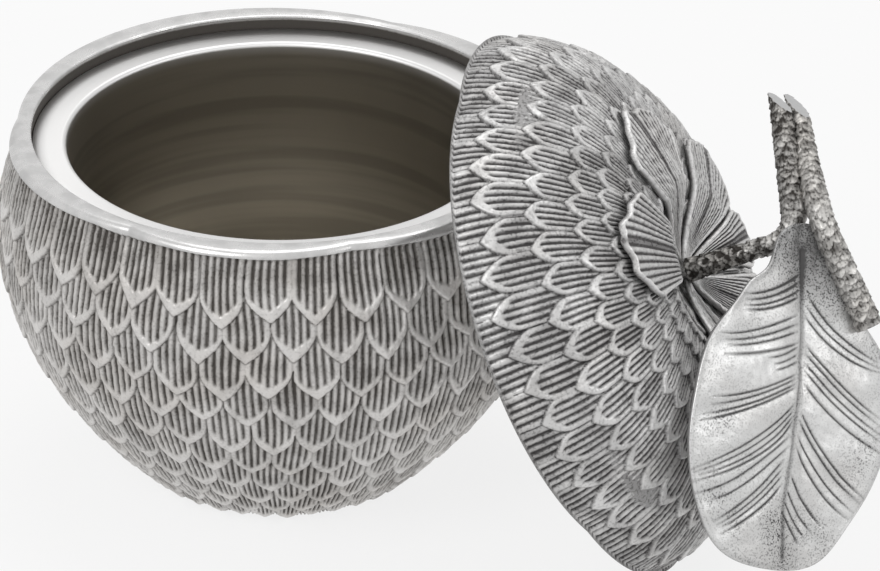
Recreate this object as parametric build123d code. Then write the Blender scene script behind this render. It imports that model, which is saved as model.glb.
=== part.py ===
# Apple-shaped ice bucket: a lobed cast body round a steel liner, and its lid, taken off and
# leaning against the body. Millimetres, +Z up; the origin is the middle of the base pad's
# underside, on the table.
from build123d import *
from bisect import bisect
from math import acos, cos, degrees, radians, sin, sqrt
import os

# Apple body, cast in one piece
body_height = 144.5
belly_radius = 110.8
belly_height = 103.0
rim_radius = 105.4
base_radius = 54.0
body_wall = 3.5
floor_thickness = 6.0
floor_hole_radius = 34.0
rim_round = 3.0
crease_angles = (5.0, 64.0, 174.0, 236.0, 285.0)
crease_depth = 4.5
crease_fade_height = 95.0

# Collar in the body's mouth, and the shelf in it that carries the liner
collar_radius = 95.9
shelf_width = 7.9
shelf_thickness = 3.0
flange_drop = 5.7

# Liner, spun steel
liner_wall = 1.0
liner_flange_width = 13.4
liner_foot_radius = 73.0
liner_depth = 119.0
liner_corner = 30.0
liner_roll = 2.0
gasket_thickness = 0.8
gasket_width = 5.5
gasket_inset = 1.0

# Base plate, its screws and the pad under it
pad_thickness = 1.5
pad_radius = 48.0
pad_edge_round = 0.5
plate_radius = 42.0
plate_thickness = 2.5
screw_count = 4
screw_circle_radius = 38.0
screw_radius = 2.0
screw_head_radius = 3.8
screw_head_height = 1.8
screw_length = 5.5
screw_slot_width = 0.8
screw_slot_depth = 0.6
screw_hole_spare = 1.0

# Lid casting, in its own frame: z = 0 is its rim plane, +Z its outer side
lid_radius = 107.5
dome_height = 54.6
dome_power = 1.58
dome_side_power = 3.48
dimple_radius = 35.0
dimple_floor = 44.0
lid_wall = 3.5
lid_rim_round = 1.5
lid_bore_radius = 96.5
lid_crease_fade_radius = 60.0
lid_turn = 53.0

# Plate that closes the lid, with the skirt that drops into the collar
lid_plate_thickness = 1.5
lid_plate_recess = 5.3
skirt_radius = 94.7
skirt_wall = 1.5
skirt_drop = 4.5
seal_width = 0.9
seal_height = 2.0
seal_above_edge = 1.0

# Rows of overlapping scales cast on the body and the lid, with flat facets. The tips of a row lie
# at one distance down from the body's rim, along the surface, or at one radius on the lid.
scale_depth = 1.5
scale_point_length = 8.5
scale_inset = 0.2
body_scale_count = 38
body_scale_turn = -92.4
body_scale_start = 11.0
body_scale_tips = (30.2, 45.6, 62.4, 77.6, 94.0, 110.5, 126.0, 139.5, 151.0, 161.0)
lid_scale_count = 44
lid_scale_start_radius = 36.5
lid_scale_tip_radii = (56.3, 67.5, 79.7, 92.4, 103.8)
lid_edge_height = 4.0
smooth_overlap = 1.0

# Calyx: each sepal's direction, half angle and reach
calyx_thickness = 3.0
calyx_hub_radius = 12.0
sepals = ((352.0, 24.0, 67.0), (294.0, 22.0, 60.0), (257.0, 16.0, 55.0),
          (54.0, 23.0, 66.0), (150.0, 22.0, 55.0), (212.0, 24.0, 57.0))
sepal_shoulder = 0.8

# Stem: out along the lid's axis, then a bend into the short arm
stem_turn = -49.5
stem_bend_height = 92.6
stem_bend_radius = 10.5
stem_foot_radius = 5.2
stem_waist_radius = 4.3
stem_elbow_radius = 5.5
stem_end_radius = 4.2
stem_arm_length = 70.0

# Branch beside the arm, over the fork and out over the leaf's shoulder, and the slanted saw cut
# through both; heights are over the arm's middle line
branch_top_radius = 4.4
branch_mid_radius = 5.2
branch_end_radius = 5.7
branch_route = ((35.3, -59.0, 2.0), (24.3, -39.6, 4.5), (15.0, -21.3, 7.5), (9.1, -10.0, 9.7),
                (0.9, -1.2, 11.2), (-14.3, 1.7, 11.8), (-41.1, 6.8, 13.6))
cut_reach = 56.1
cut_height = 0.9
cut_turn = -21.0
cut_slope = 50.0

# Leaf: where its midrib starts, against the arm's middle line, and which way it points, droops
# and rolls
leaf_root = (-5.7, 8.9, -0.1)
leaf_turn = 149.4
leaf_droop = 14.3
leaf_roll = 33.6
leaf_neck = 8.0
leaf_length = 116.5
leaf_left_width = 51.0
leaf_right_width = 40.5
leaf_thickness = 2.2
leaf_cup = 7.0
leaf_tip_fall = 6.0

# Fixing under the stem
bolt_radius = 3.0
bolt_head_radius = 5.6
bolt_head_height = 4.0
bolt_grip = 14.0
washer_radius = 8.5
washer_thickness = 1.5
bolt_access_gap = 1.5

# How the lid leans against the body
lean_tilt = 64.2
lean_azimuth = -14.6
lean_side_step = -21.6

# Clearances: between curved faces that are fixed together, and between pieces that come apart
fit_gap = 0.1
running_gap = 0.3

shelf_radius = collar_radius - shelf_width
liner_mouth_radius = collar_radius - liner_flange_width
body_base = pad_thickness
floor_top = body_base + floor_thickness
flange_top = body_height - flange_drop
shelf_top = flange_top - liner_wall - gasket_thickness
shelf_under = shelf_top - shelf_thickness
liner_floor = flange_top - liner_depth
shoulder = lid_plate_recess + lid_plate_thickness


def polar(radius, angle, height=0.0):
    return Vector(radius * cos(radians(angle)), radius * sin(radians(angle)), height)


def fade(value, start, end, power):
    return max(0.0, (value - start) / (end - start)) ** power


def spin(points, curved=()):
    """Solid of revolution about Z of a closed (radius, height) outline; each index in curved
    is a pair (first, last) of outline points joined by a spline instead of straight lines."""
    corners = [Vector(r, 0, z) for r, z in points]
    edges = []
    at = 0
    spans = dict(curved)
    while at < len(corners):
        stop = spans.get(at, at + 1)
        if stop > at + 1:
            edges.append(Spline(*corners[at:stop + 1]))
        else:
            edges.append(Line(corners[at], corners[(at + 1) % len(corners)]))
        at = stop
    return revolve(make_face(edges), Axis.Z)


def lobed_wire(radius, depth, height, turn=0.0):
    """Closed outline of one arc per lobe, from crease to crease."""
    arcs = []
    ends = crease_angles[1:] + (crease_angles[0] + 360.0,)
    for start, end in zip(crease_angles, ends):
        arcs.append(ThreePointArc(
            polar(radius - depth, start - turn, height),
            polar(radius, (start + end) / 2 - turn, height),
            polar(radius - depth, end - turn, height)))
    return Wire(arcs)


def lobe_radius(angle, radius, depth):
    """Radius of the lobed outline at an angle: the arc of the lobe that the angle falls in."""
    ends = crease_angles[1:] + (crease_angles[0] + 360.0,)
    for start, end in zip(crease_angles, ends):
        past = (angle - start) % 360
        if past < end - start:
            break
    low = radius - depth
    centre = (radius ** 2 - low ** 2) / (2 * (radius - low * cos(radians(end - start) / 2)))
    turn = radians(past - (end - start) / 2)
    return centre * cos(turn) + sqrt((radius - centre) ** 2 - (centre * sin(turn)) ** 2)


def rounded_rim(radius, depth, height, rounding, turn=0.0, upward=True):
    """Quarter-round edge of a lobed outline, in four flat steps."""
    wires = []
    for step in range(5):
        angle = radians(90.0 * step / 4)
        rise = rounding * sin(angle) if upward else -rounding * sin(angle)
        inset = rounding * (1 - cos(angle))
        wires.append(lobed_wire(radius - inset, depth, height + rise, turn))
    return Solid.make_loft(wires if upward else wires[::-1], ruled=True)


def body_radius(z):
    if z < belly_height:
        return belly_radius - (belly_radius - base_radius) * ((belly_height - z) / belly_height) ** 2
    rise = (z - belly_height) / (body_height - belly_height)
    return belly_radius - (belly_radius - rim_radius) * rise ** 2


def body_crease(z):
    return crease_depth * fade(z, crease_fade_height, body_height, 1.5)


def cavity_radius(z):
    step = 0.5
    slope = (body_radius(z + step) - body_radius(z - step)) / (2 * step)
    return body_radius(z) - body_crease(z) - body_wall * sqrt(1 + slope ** 2)


def stations(first, last, count):
    return [first + (last - first) * i / (count - 1) for i in range(count)]


def walk(line):
    """Distance from the start of a (radius, height) line to each of its points."""
    distances = [0.0]
    for (r0, z0), (r1, z1) in zip(line, line[1:]):
        distances.append(distances[-1] + sqrt((r1 - r0) ** 2 + (z1 - z0) ** 2))
    return distances


def lifted(line, distances, distance, lift):
    """Radius and height of the place at a distance along a line, lifted square to the line."""
    i = min(bisect(distances, distance), len(line) - 1) - 1
    (r0, z0), (r1, z1) = line[i], line[i + 1]
    length = distances[i + 1] - distances[i]
    share = (distance - distances[i]) / length
    dr, dz = (r1 - r0) / length, (z1 - z0) / length
    return r0 + share * (r1 - r0) - lift * dz, z0 + share * (z1 - z0) + lift * dr


def scaled_solid(count, turn, tips, ends, point):
    """Solid whose side is rows of overlapping scales, each with an upright middle, a pointed tip
    and its roots sunk under the row before. point gives the place on the side at an angle, at a
    distance along it and with a lift; ends are the distances where the side starts and stops."""
    start, stop = ends
    tips = tips + (stop,)
    step = 360 / count

    def sunk(row, distance):
        if row == 0:
            return -scale_inset
        root = tips[row - 1] - scale_point_length
        return -scale_inset - scale_depth * (tips[row] - distance) / (tips[row] - root)

    def place(column, distance, row):
        return point(turn + step * column, distance, sunk(row, distance))

    faces = []
    for row, tip in enumerate(tips):
        closing = row == len(tips) - 1
        notch = tip if closing else tip - scale_point_length
        above = tips[row - 1] if row else start
        root = above - scale_point_length if row else start
        for number in range(count):
            column = number + row % 2 / 2
            corners = [place(column, tip, row), place(column + 0.5, notch, row),
                       place(column + 0.5, above, row), place(column, root, row),
                       place(column - 0.5, above, row), place(column - 0.5, notch, row)]
            for second, third in zip(corners[1:], corners[2:]):
                faces.append(Face(Wire.make_polygon([corners[0], second, third])))
            if closing:
                continue
            for side, edge in ((-0.5, corners[5]), (0.5, corners[1])):
                low_tip = place(column, tip, row + 1)
                low_notch = place(column + side, notch, row + 1)
                faces.append(Face(Wire.make_polygon([corners[0], edge, low_notch])))
                faces.append(Face(Wire.make_polygon([corners[0], low_notch, low_tip])))
    for distance, row in ((start, 0), (stop, len(tips) - 1)):
        ring = [place(number / 2, distance, row) for number in range(2 * count)]
        faces.append(Face(Wire.make_polygon(ring)))
    return Solid(Shell(faces))


def body_scales():
    """The body's side below its smooth band, faceted, and reaching a little below the foot."""
    below = body_base - scale_point_length
    line = [(body_radius(z), z) for z in stations(body_height, below, 300)]
    distances = walk(line)

    def point(angle, distance, lift):
        radius, z = lifted(line, distances, distance, lift)
        return polar(lobe_radius(angle, radius, body_crease(z)), angle, z)

    stop = distances[-1] - smooth_overlap
    tips = tuple(tip for tip in body_scale_tips if tip < stop - smooth_overlap)
    solid = scaled_solid(body_scale_count, body_scale_turn, tips, (body_scale_start, stop), point)
    return split(solid, Plane.XY.offset(body_base), keep=Keep.TOP)


def make_outer_shell():
    top = body_height - rim_round
    band_foot = body_height - body_scale_start - smooth_overlap
    wires = [lobed_wire(body_radius(z), body_crease(z), z) for z in stations(band_foot, top, 4)]
    shell = body_scales() + Solid.make_loft(wires)
    shell += rounded_rim(body_radius(top), body_crease(top), top, rim_round)
    heights = stations(floor_top, shelf_under, 9)
    side = [(cavity_radius(z), z) for z in heights]
    outline = [(0, floor_top)] + side + [(0, shelf_under)]
    shell -= spin(outline, [(1, len(side))])
    shell -= Pos(0, 0, shelf_top) * Cylinder(
        collar_radius, body_height, align=(Align.CENTER, Align.CENTER, Align.MIN))
    shell -= Pos(0, 0, shelf_under - 1) * Cylinder(
        shelf_radius, body_height, align=(Align.CENTER, Align.CENTER, Align.MIN))
    shell -= Cylinder(floor_hole_radius, 2 * floor_top + 2)
    shell -= Pos(0, 0, body_base) * Cylinder(plate_radius + fit_gap, 2 * plate_thickness)
    for place in screw_places():
        shell -= place * Cylinder(
            screw_radius + fit_gap, screw_length + screw_hole_spare,
            align=(Align.CENTER, Align.CENTER, Align.MIN))
    return shell


def screw_places():
    return [Pos(polar(screw_circle_radius, 45 + 360 * i / screw_count, body_base))
            for i in range(screw_count)]


def countersunk_screw(slack=0.0):
    head = Cone(screw_head_radius + slack, screw_radius + slack, screw_head_height,
                align=(Align.CENTER, Align.CENTER, Align.MIN))
    shank = Cylinder(screw_radius + slack, screw_length, align=(Align.CENTER, Align.CENTER, Align.MIN))
    return head + shank


def make_base_plate():
    plate = Pos(0, 0, body_base) * Cylinder(
        plate_radius, plate_thickness, align=(Align.CENTER, Align.CENTER, Align.MIN))
    for place in screw_places():
        plate -= place * countersunk_screw(fit_gap)
    return plate


def make_base_screws():
    slot = Box(2 * screw_head_radius, screw_slot_width, 2 * screw_slot_depth)
    return [place * (countersunk_screw() - slot) for place in screw_places()]


def make_base_pad():
    pad = Cylinder(pad_radius, pad_thickness, align=(Align.CENTER, Align.CENTER, Align.MIN))
    return fillet(pad.edges().filter_by(GeomType.CIRCLE), pad_edge_round)


def cup_section(extra, top):
    """Filled half section of the liner's inside, grown outwards by extra."""
    corners = [(0, liner_floor - extra), (liner_foot_radius + extra, liner_floor - extra),
               (liner_mouth_radius + extra, top), (0, top)]
    face = make_face(Polyline(*[Vector(r, 0, z) for r, z in corners], close=True)).face()
    foot = face.vertices().sort_by_distance(Vector(corners[1][0], 0, corners[1][1]))[0]
    return face.fillet_2d(liner_corner + extra, [foot])


def make_liner():
    flange_radius = collar_radius - running_gap
    under = flange_top - liner_wall
    section = cup_section(liner_wall, under)
    corners = [(0, under), (flange_radius, under), (flange_radius, flange_top), (0, flange_top)]
    section += make_face(Polyline(*[Vector(r, 0, z) for r, z in corners], close=True))
    section -= cup_section(0, flange_top)
    face = section.faces()[0]
    lip = face.vertices().sort_by_distance(Vector(liner_mouth_radius, 0, flange_top))[0]
    face = face.fillet_2d(liner_roll, [lip])
    bend = face.vertices().sort_by_distance(Vector(liner_mouth_radius + liner_wall, 0, under))[0]
    face = face.fillet_2d(liner_roll - liner_wall, [bend])
    return revolve(face, Axis.Z)


def make_liner_gasket():
    outer = collar_radius - gasket_inset
    return spin([(outer - gasket_width, shelf_top), (outer, shelf_top),
                 (outer, flange_top - liner_wall), (outer - gasket_width, flange_top - liner_wall)])


def make_insulation():
    heights = stations(floor_top, shelf_under - running_gap, 9)
    side = [(cavity_radius(z) - running_gap, z) for z in heights]
    outline = [(0, floor_top)] + side + [(0, side[-1][1])]
    jacket = spin(outline, [(1, len(side))])
    jacket -= revolve(cup_section(liner_wall + running_gap, flange_top), Axis.Z)
    return jacket


def dome_reach(height):
    """Radius of the lid's outer surface at a height above its rim plane."""
    return lid_radius * (1 - (height / dome_height) ** dome_power) ** (1 / dome_side_power)


def dome_rise(radius):
    """Height of the lid's outer surface, dimple included, at a radius."""
    rise = dome_height * (1 - (radius / lid_radius) ** dome_side_power) ** (1 / dome_power)
    if radius < dimple_radius:
        rise -= (rise - dimple_floor) * (1 - (radius / dimple_radius) ** 2) ** 1.5
    return rise


def lid_crease(radius):
    return crease_depth * fade(radius, lid_crease_fade_radius, lid_radius, 1.2)


def dome_top():
    return dome_rise(dimple_radius)


def offset_outline(points, distance):
    """Points moved inwards (towards the axis and down) square to the line through them."""
    moved = []
    for i, (r, z) in enumerate(points):
        before, after = points[max(i - 1, 0)], points[min(i + 1, len(points) - 1)]
        dr, dz = after[0] - before[0], after[1] - before[1]
        length = sqrt(dr ** 2 + dz ** 2)
        moved.append((r - distance * dz / length, z + distance * dr / length))
    return moved


def dome_ceiling(inset):
    """Underside of the dome, inset from its outer surface, from the shoulder to the axis."""
    low = [dome_reach(dome_top() * sin(radians(12 + 78 * i / 7))) for i in range(8)]
    radii = low + stations(dimple_radius - 6, 0, 5)
    points = [(r - lid_crease(r), dome_rise(r)) for r in radii]
    moved = offset_outline(points, inset)
    kept = [(r, z) for r, z in moved if z > shoulder + 1]
    return [(kept[0][0] + 0.5, shoulder)] + kept[:-1] + [(0, kept[-1][1])]


def lid_scales():
    """The dome above its smooth edge, faceted, with a flat top round the dimple."""
    turning = (dimple_radius + lid_radius) / 2
    inner = [(r, dome_rise(r)) for r in stations(dimple_radius, turning, 120)]
    outer = [(dome_reach(z), z) for z in stations(inner[-1][1], lid_edge_height / 2, 180)]
    line = inner + outer[1:]
    distances = walk(line)

    def distance_to(radius):
        return next(d for (r, z), d in zip(line, distances) if r >= radius)

    def point(angle, distance, lift):
        radius, z = lifted(line, distances, distance, lift)
        return polar(lobe_radius(angle + lid_turn, radius, lid_crease(radius)), angle, z)

    stop = next(d for (r, z), d in zip(line, distances) if z <= lid_edge_height - smooth_overlap)
    tips = tuple(distance_to(r) for r in lid_scale_tip_radii if r < line[-1][0] - smooth_overlap)
    ends = (distance_to(lid_scale_start_radius), stop)
    return scaled_solid(lid_scale_count, 0.0, tips, ends, point)


def make_lid_shell():
    heights = stations(lid_rim_round, lid_edge_height, 3)
    wires = [lobed_wire(dome_reach(h), lid_crease(dome_reach(h)), h, lid_turn) for h in heights]
    shell = lid_scales() + Solid.make_loft(wires)
    edge = dome_reach(lid_rim_round)
    shell += rounded_rim(edge, lid_crease(edge), lid_rim_round, lid_rim_round, lid_turn, upward=False)
    bowl = [(r, dome_rise(r)) for r in stations(0, dimple_radius, 8)]
    shell -= spin(bowl + [(dimple_radius, dome_top() + 5), (0, dome_top() + 5)], [(0, 7)])
    ceiling = dome_ceiling(lid_wall)
    shell -= spin([(0, shoulder)] + ceiling, [(1, len(ceiling))])
    shell -= Cylinder(lid_bore_radius, 2 * shoulder)
    shell -= Cylinder(bolt_radius + fit_gap, 3 * dome_height)
    return shell


def make_lid_plate():
    inner = skirt_radius - skirt_wall
    lip = lid_bore_radius - fit_gap
    return spin([(0, lid_plate_recess), (inner, lid_plate_recess), (inner, -skirt_drop),
                 (skirt_radius, -skirt_drop), (skirt_radius, lid_plate_recess),
                 (lip, lid_plate_recess), (lip, shoulder), (0, shoulder)])


def make_lid_seal():
    inner = skirt_radius + fit_gap
    low = -skirt_drop + seal_above_edge
    return spin([(inner, low), (inner + seal_width, low + seal_height / 3),
                 (inner + seal_width, low + 2 * seal_height / 3), (inner, low + seal_height)])


def make_lid_insulation():
    ceiling = dome_ceiling(lid_wall + running_gap)
    block = spin([(0, shoulder)] + ceiling, [(1, len(ceiling))])
    block -= Cylinder(washer_radius + bolt_access_gap, 3 * dome_height)
    return block


def sepal_outline(direction, half_angle, reach):
    narrow = degrees(acos(calyx_hub_radius / reach)) / 12
    points = [polar(0.0, 0.0), polar(0.45 * reach, direction - 0.8 * half_angle),
              polar(sepal_shoulder * reach, direction - half_angle),
              polar(0.97 * reach, direction - narrow), polar(reach, direction + narrow),
              polar(sepal_shoulder * reach, direction + half_angle),
              polar(0.45 * reach, direction + 0.8 * half_angle)]
    return make_face(Polyline(*points, close=True))


def make_calyx():
    reach = max(sepal[2] for sepal in sepals)
    radii = stations(0, dimple_radius, 6) + stations(dimple_radius + 6, reach + 1, 5)
    under = [(r, dome_rise(r) + fit_gap) for r in radii]
    over = [(r, dome_rise(r) + calyx_thickness) for r in reversed(radii)]
    cap = spin(under + over, [(0, len(under) - 1), (len(under), len(under) + len(over) - 1)])
    star = Circle(calyx_hub_radius).face()
    for sepal in sepals:
        star += sepal_outline(*sepal)
    calyx = cap & extrude(star, 2 * dome_height)
    calyx -= Pos(0, 0, dimple_floor + calyx_thickness) * Cylinder(
        stem_foot_radius + fit_gap, dome_height, align=(Align.CENTER, Align.CENTER, Align.MIN))
    return calyx - Cylinder(bolt_radius + fit_gap, 3 * dome_height)


def tube(places, side):
    """Solid through round sections, each a (centre, direction, radius), their seams to one side."""
    wires = []
    for centre, direction, radius in places:
        seam = side - direction * side.dot(direction)
        wires.append(Wire.make_circle(radius, Plane(origin=centre, x_dir=seam, z_dir=direction)))
    return Solid.make_loft(wires)


def over_arm(point):
    """Place of a point whose height is given over the arm's middle line."""
    x, y, height = point
    return Vector(x, y, stem_bend_height + height)


def cut_plane():
    """Slanted saw cut across the tops of the arm and the branch."""
    normal = polar(cos(radians(cut_slope)), cut_turn, sin(radians(cut_slope)))
    return Plane(origin=over_arm(polar(cut_reach, stem_turn, cut_height)), z_dir=normal)


def make_stem():
    """Tapered upright, thick elbow and tapered arm, sawn off at a slant and bored for the bolt."""
    foot = dimple_floor + calyx_thickness
    straight = stem_bend_height - stem_bend_radius
    places = []
    for share in stations(0, 1, 5):
        radius = stem_waist_radius + (stem_foot_radius - stem_waist_radius) * (1 - share) ** 3
        places.append((Vector(0, 0, foot + (straight - foot) * share), Vector(0, 0, 1), radius))
    for share in stations(0.25, 1, 4):
        bend = radians(90 * share)
        centre = Vector(stem_bend_radius * (1 - cos(bend)), 0, straight + stem_bend_radius * sin(bend))
        radius = stem_waist_radius + (stem_elbow_radius - stem_waist_radius) * share
        places.append((centre, Vector(sin(bend), 0, cos(bend)), radius))
    for share in stations(0.2, 1, 5):
        reach = stem_bend_radius + (stem_arm_length - stem_bend_radius) * share
        radius = stem_elbow_radius + (stem_end_radius - stem_elbow_radius) * share
        places.append((Vector(reach, 0, stem_bend_height), Vector(1, 0, 0), radius))
    stem = Rot(0, 0, stem_turn) * tube(places, Vector(0, 1, 0))
    stem = split(stem, cut_plane(), keep=Keep.BOTTOM)
    return stem - Pos(0, 0, foot) * Cylinder(bolt_radius + fit_gap, 2 * bolt_grip + 1)


def make_branch(stem):
    line = Spline(*[over_arm(point) for point in branch_route])
    places = []
    for i in range(13):
        share = i / 12
        if share < 0.5:
            radius = branch_top_radius + (branch_mid_radius - branch_top_radius) * 2 * share
        else:
            radius = branch_mid_radius + (branch_end_radius - branch_mid_radius) * (2 * share - 1)
        places.append((line @ share, line % share, radius))
    branch = split(tube(places, Vector(0, 0, 1)), cut_plane(), keep=Keep.BOTTOM)
    return branch - stem


def leaf_plane():
    along = polar(cos(radians(leaf_droop)), leaf_turn, -sin(radians(leaf_droop)))
    up = polar(sin(radians(leaf_droop)), leaf_turn, cos(radians(leaf_droop)))
    side = polar(1, leaf_turn - 90)
    across = side * -cos(radians(leaf_roll)) + up * sin(radians(leaf_roll))
    return Plane(origin=over_arm(leaf_root), x_dir=along, z_dir=along.cross(across))


def leaf_face_height(s, t):
    """Height of the blade over the leaf's plane: full halves, a sunk midrib, a falling tip."""
    side = abs(t) / (leaf_left_width if t < 0 else leaf_right_width)
    fall = leaf_tip_fall * max(0.0, s / leaf_length - 0.35) ** 2 / 0.42
    return leaf_cup * (side - side ** 2) - fall


def leaf_section(s):
    """Closed outline across the blade, wider than the leaf, at a distance along the midrib."""
    sides = stations(-1.08 * leaf_left_width, 1.08 * leaf_right_width, 9)
    half = leaf_thickness / 2
    face = [Vector(s, t, leaf_face_height(s, t) + half) for t in sides]
    back = [Vector(s, t, leaf_face_height(s, t) - half) for t in sides]
    return Wire([Spline(*face), Line(face[-1], back[-1]), Spline(*back[::-1]), Line(back[0], face[0])])


def make_leaf(stem, branch):
    blade = Solid.make_loft([leaf_section(s) for s in stations(-leaf_neck - 4, leaf_length + 4, 8)])
    left, right, length = leaf_left_width, leaf_right_width, leaf_length
    outline = Spline(Vector(0.1 * length, 0.5 * right), Vector(0.016 * length, 0.38 * right),
                     Vector(-leaf_neck, 0.14 * right), Vector(-0.8 * leaf_neck, -0.15 * left),
                     Vector(0.026 * length, -0.3 * left), Vector(0.07 * length, -0.46 * left),
                     Vector(0.115 * length, -0.55 * left),
                     Vector(0.23 * length, -0.79 * left), Vector(0.42 * length, -0.95 * left),
                     Vector(0.58 * length, -left), Vector(0.78 * length, -0.92 * left),
                     Vector(0.92 * length, -0.73 * left), Vector(0.995 * length, -0.27 * left),
                     Vector(0.975 * length, 0.22 * right), Vector(0.88 * length, 0.48 * right),
                     Vector(0.75 * length, 0.76 * right), Vector(0.62 * length, 0.94 * right),
                     Vector(0.47 * length, right), Vector(0.3 * length, 0.9 * right),
                     Vector(0.185 * length, 0.64 * right), periodic=True)
    prism = Pos(0, 0, -length) * extrude(make_face(outline), 2 * length)
    leaf = leaf_plane().location * (blade & prism)
    return leaf - stem - branch


def hexagon(radius, height):
    return extrude(RegularPolygon(radius, 6), height)


def make_stem_bolt():
    under = dimple_floor - lid_wall - washer_thickness
    top = dimple_floor + calyx_thickness + bolt_grip
    shank = Pos(0, 0, under) * Cylinder(
        bolt_radius, top - under, align=(Align.CENTER, Align.CENTER, Align.MIN))
    return shank + Pos(0, 0, under - bolt_head_height) * hexagon(bolt_head_radius, bolt_head_height)


def make_stem_washer():
    under = dimple_floor - lid_wall - washer_thickness
    washer = Pos(0, 0, under) * Cylinder(
        washer_radius, washer_thickness, align=(Align.CENTER, Align.CENTER, Align.MIN))
    return washer - Cylinder(bolt_radius + fit_gap, 3 * dome_height)


def leaning_place(lid_shell):
    """Where the lid's frame goes: low edge on the table, its plate against the body's rim."""
    out = polar(1, lean_azimuth)
    across = polar(1, lean_azimuth + 90)
    tilt = radians(lean_tilt)
    normal = out * sin(tilt) + Vector(0, 0, cos(tilt))
    uphill = out * -cos(tilt) + Vector(0, 0, sin(tilt))
    upright = Plane(origin=(0, 0, 0), x_dir=uphill, z_dir=normal).location
    lift = -(upright * lid_shell).bounding_box().min.Z
    top = body_height - rim_round
    edge = max(lobe_radius(lean_azimuth + angle, body_radius(top), body_crease(top)) * cos(radians(angle))
               for angle in range(-60, 61))
    support = (edge - rim_round) * sin(tilt) + top * cos(tilt) + rim_round
    reach = (support + running_gap - lid_plate_recess - lift * cos(tilt)) / sin(tilt)
    centre = out * reach + across * lean_side_step + Vector(0, 0, lift)
    return Plane(origin=centre, x_dir=uphill, z_dir=normal).location


os.makedirs("parts", exist_ok=True)

stem = make_stem()
branch = make_branch(stem)
lid_shell = make_lid_shell()
on_table = leaning_place(lid_shell)

pieces = {
    "outer_shell": make_outer_shell(),
    "base_plate": make_base_plate(),
    "base_screws": Compound(make_base_screws()),
    "base_pad": make_base_pad(),
    "insulation_jacket": make_insulation(),
    "liner": make_liner(),
    "liner_gasket": make_liner_gasket(),
    "lid_shell": on_table * lid_shell,
    "lid_plate": on_table * make_lid_plate(),
    "lid_seal": on_table * make_lid_seal(),
    "lid_insulation": on_table * make_lid_insulation(),
    "calyx": on_table * make_calyx(),
    "stem": on_table * stem,
    "branch": on_table * branch,
    "leaf": on_table * make_leaf(stem, branch),
    "stem_bolt": on_table * make_stem_bolt(),
    "stem_washer": on_table * make_stem_washer(),
}

for name, piece in pieces.items():
    export_step(piece, f"parts/{name}.step")
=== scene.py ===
# Apple-shaped ice bucket, dressed: a lobed cast body covered in rows of scales, its bright
# steel liner, and the domed lid with calyx, stem and leaf, taken off and leaning on the body.
# Sizes are in millimetres and turn into metres where a mesh is made.
from math import atan2, cos, pi, radians, sin
import bmesh
import bpy
from mathutils import Matrix, Vector
import numpy as np


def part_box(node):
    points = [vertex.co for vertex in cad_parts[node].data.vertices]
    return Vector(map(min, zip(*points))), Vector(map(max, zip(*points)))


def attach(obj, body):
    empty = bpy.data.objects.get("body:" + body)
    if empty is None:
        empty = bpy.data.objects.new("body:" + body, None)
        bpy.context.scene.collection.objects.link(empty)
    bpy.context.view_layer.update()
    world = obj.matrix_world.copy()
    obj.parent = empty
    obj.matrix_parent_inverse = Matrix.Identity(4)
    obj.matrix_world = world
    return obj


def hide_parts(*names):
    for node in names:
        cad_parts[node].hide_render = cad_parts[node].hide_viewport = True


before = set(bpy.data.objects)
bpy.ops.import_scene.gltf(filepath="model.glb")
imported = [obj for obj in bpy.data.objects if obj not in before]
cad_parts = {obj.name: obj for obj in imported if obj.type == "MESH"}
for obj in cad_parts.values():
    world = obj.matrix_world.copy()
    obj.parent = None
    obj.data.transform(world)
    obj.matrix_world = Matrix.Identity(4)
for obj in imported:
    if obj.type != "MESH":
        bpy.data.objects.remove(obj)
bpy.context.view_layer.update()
mm = 0.001

# Camera: a long lens 2.7 metres off, looking down at the rim. It is turned a little to the
# right, and rolled by half a degree.
camera_place = Vector((0.0, -2304.8, 1316.6)) * mm
camera_pitch = radians(28.322)
camera_yaw = radians(1.54)
camera_roll = radians(0.54)
camera_lens = 274.8
camera_film = 36.0
camera_sight = 50.0


def placed(name, data):
    """A new object of the scene."""
    thing = bpy.data.objects.new(name, data)
    bpy.context.scene.collection.objects.link(thing)
    return thing


camera = placed("camera", bpy.data.cameras.new("camera"))
camera.data.lens = camera_lens
camera.data.sensor_width = camera_film
camera.data.clip_end = camera_sight
aim = Vector((sin(camera_yaw) * cos(camera_pitch), cos(camera_yaw) * cos(camera_pitch),
              -sin(camera_pitch)))
level = Vector((cos(camera_yaw), -sin(camera_yaw), 0.0))
upright = level.cross(aim)
right = level * cos(camera_roll) + upright * sin(camera_roll)
above = upright * cos(camera_roll) - level * sin(camera_roll)
turned = Matrix((right, above, -aim)).transposed()
camera.matrix_world = Matrix.Translation(camera_place) @ turned.to_4x4()
bpy.context.scene.camera = camera


# Foot of the bucket: a thin black felt pad glued under a plain turned steel plate, which closes
# the casting's floor and is held by four slotted countersunk screws.
felt_colour = (0.035, 0.034, 0.036)
felt_fleck = (0.085, 0.082, 0.085)
plate_steel = (0.46, 0.45, 0.44)
screw_steel = (0.55, 0.54, 0.53)


class Wire:
    """An output of a shader's nodes; arithmetic on it adds Math nodes."""

    def __init__(self, shader, socket):
        self.shader = shader
        self.socket = socket

    def joined(self, operation, first, second, clamped=False):
        settings = {"operation": operation, "use_clamp": clamped}
        return self.shader.node("ShaderNodeMath", settings, {0: first, 1: second})

    def __add__(self, other):
        return self.joined("ADD", self, other)

    def __sub__(self, other):
        return self.joined("SUBTRACT", self, other)

    def __rsub__(self, other):
        return self.joined("SUBTRACT", other, self)

    def __mul__(self, other):
        return self.joined("MULTIPLY", self, other)

    def __pow__(self, other):
        return self.joined("POWER", self, other)

    __radd__ = __add__
    __rmul__ = __mul__

    def kept(self):
        return self.joined("ADD", self, 0.0, clamped=True)


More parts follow.
